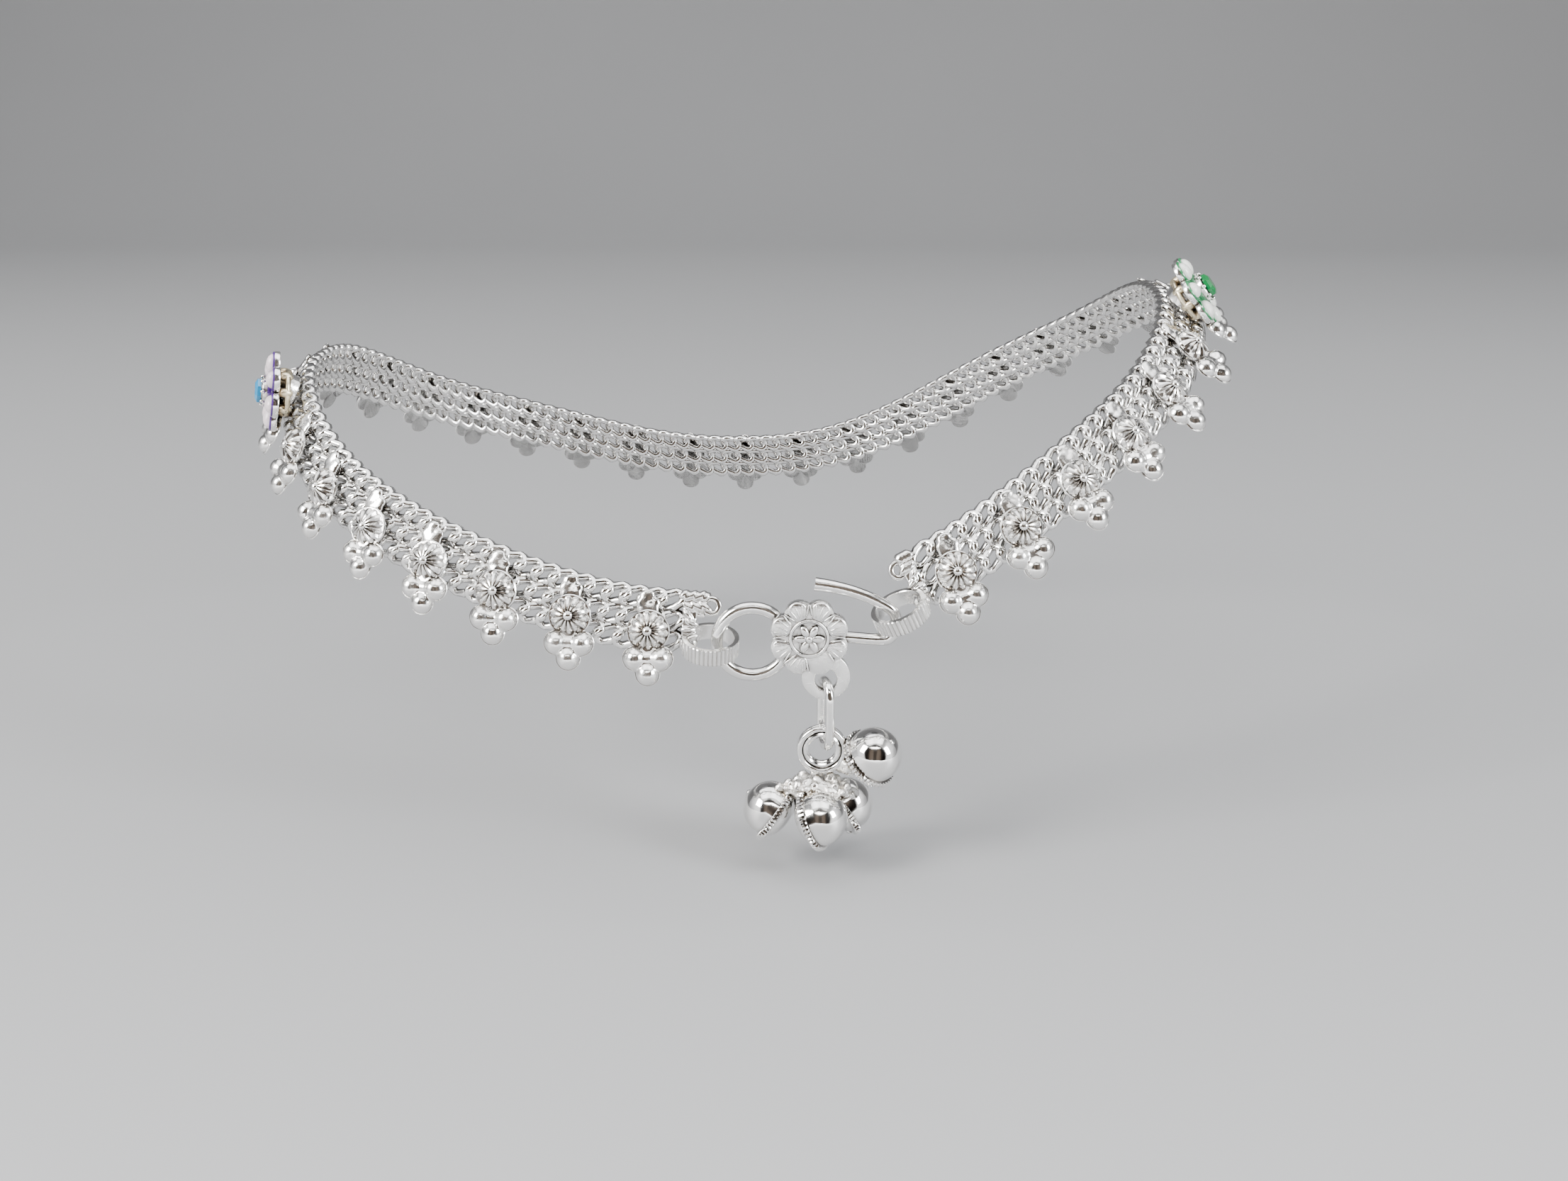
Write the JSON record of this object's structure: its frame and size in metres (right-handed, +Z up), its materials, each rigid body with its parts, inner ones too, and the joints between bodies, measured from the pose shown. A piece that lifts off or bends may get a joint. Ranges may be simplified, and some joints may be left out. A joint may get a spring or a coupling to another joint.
{
  "type": "payal anklet",
  "caption": "Silver-plated anklet in its worn saddle form: joined chain rows with fluted rosettes and beaded drops, flower jewels, a hook clasp and a hanging cluster of bells.",
  "frame": {"origin": "middle of the ankle opening, at the mean height of the instep and heel ends of the loop", "axes": "+X toward the toes, -Y toward the clasp on the near side of the ankle, +Z up"},
  "size_m": [0.1044, 0.0792, 0.0521],
  "materials": {
    "band_silver": "bright silver plating",
    "rosette_silver": "bright silver plating",
    "jewel_heel_silver": "bright silver plating",
    "jewel_heel_glass": "faceted, polished",
    "jewel_instep_silver": "bright silver plating",
    "jewel_instep_glass": "faceted, polished",
    "end_piece_heel_silver": "bright silver plating",
    "end_piece_instep_silver": "bright silver plating",
    "hook_silver": "bright silver plating",
    "link_silver": "bright silver plating",
    "bell_silver": "bright silver plating"
  },
  "bodies": {
    "root": {"chain_band": "band_silver", "rosette_drop_01": "rosette_silver", "rosette_drop_02": "rosette_silver", "rosette_drop_03": "rosette_silver", "rosette_drop_04": "rosette_silver", "rosette_drop_05": "rosette_silver", "rosette_drop_06": "rosette_silver", "rosette_drop_07": "rosette_silver", "rosette_drop_08": "rosette_silver", "rosette_drop_09": "rosette_silver", "rosette_drop_10": "rosette_silver", "rosette_drop_11": "rosette_silver", "rosette_drop_12": "rosette_silver", "rosette_drop_13": "rosette_silver", "rosette_drop_14": "rosette_silver", "rosette_drop_15": "rosette_silver", "rosette_drop_16": "rosette_silver", "rosette_drop_17": "rosette_silver", "rosette_drop_18": "rosette_silver", "rosette_drop_19": "rosette_silver", "rosette_drop_20": "rosette_silver", "rosette_drop_21": "rosette_silver", "rosette_drop_22": "rosette_silver", "rosette_drop_23": "rosette_silver", "rosette_drop_24": "rosette_silver", "rosette_drop_25": "rosette_silver", "rosette_drop_26": "rosette_silver", "rosette_drop_27": "rosette_silver", "rosette_drop_28": "rosette_silver", "rosette_drop_29": "rosette_silver", "rosette_drop_30": "rosette_silver", "rosette_drop_31": "rosette_silver", "rosette_drop_32": "rosette_silver", "rosette_drop_33": "rosette_silver", "rosette_drop_34": "rosette_silver", "jewel_heel_setting": "jewel_heel_silver", "jewel_heel_stone": "jewel_heel_glass", "jewel_instep_setting": "jewel_instep_silver", "jewel_instep_stone": "jewel_instep_glass", "end_piece_heel": "end_piece_heel_silver", "end_piece_instep": "end_piece_instep_silver", "clasp_hook": "hook_silver"},
    "link": {"drop_link": "link_silver"},
    "bells": {"bell_cluster": "bell_silver"}
  },
  "joints": [
    {"name": "link_swing", "type": "hinge", "parent": "root", "child": "link", "pos_m": [0.00882, -0.03613, -0.02767], "axis": [-1, 0, 0], "range_deg": [-20, 80]},
    {"name": "bells_swing", "type": "hinge", "parent": "link", "child": "bells", "pos_m": [0.00882, -0.03613, -0.03284], "axis": [0, 1, 0], "range_deg": [-35, 35]}
  ]
}
